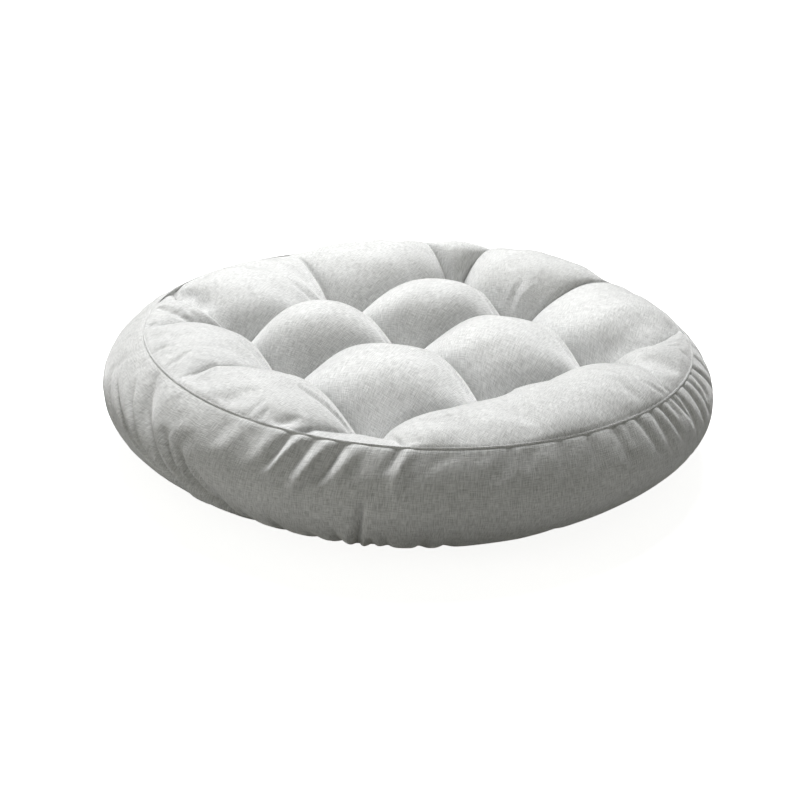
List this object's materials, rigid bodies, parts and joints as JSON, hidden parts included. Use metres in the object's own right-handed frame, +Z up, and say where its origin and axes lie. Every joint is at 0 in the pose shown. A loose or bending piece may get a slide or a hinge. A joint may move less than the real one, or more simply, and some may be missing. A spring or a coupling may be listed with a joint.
{
  "type": "round tufted floor cushion",
  "caption": "Round floor cushion for sitting or meditation: a tufted top of plump domes seamed to a gathered side band, with a flat underside.",
  "frame": {"origin": "middle of the underside, on the floor", "axes": "+Z up through the crown, -Y towards the pictured front, +X to its right"},
  "size_m": [0.3988, 0.4028, 0.086],
  "materials": {
    "linen": "matt, slub weave"
  },
  "bodies": {
    "root": {"cushion": "linen"}
  },
  "joints": []
}
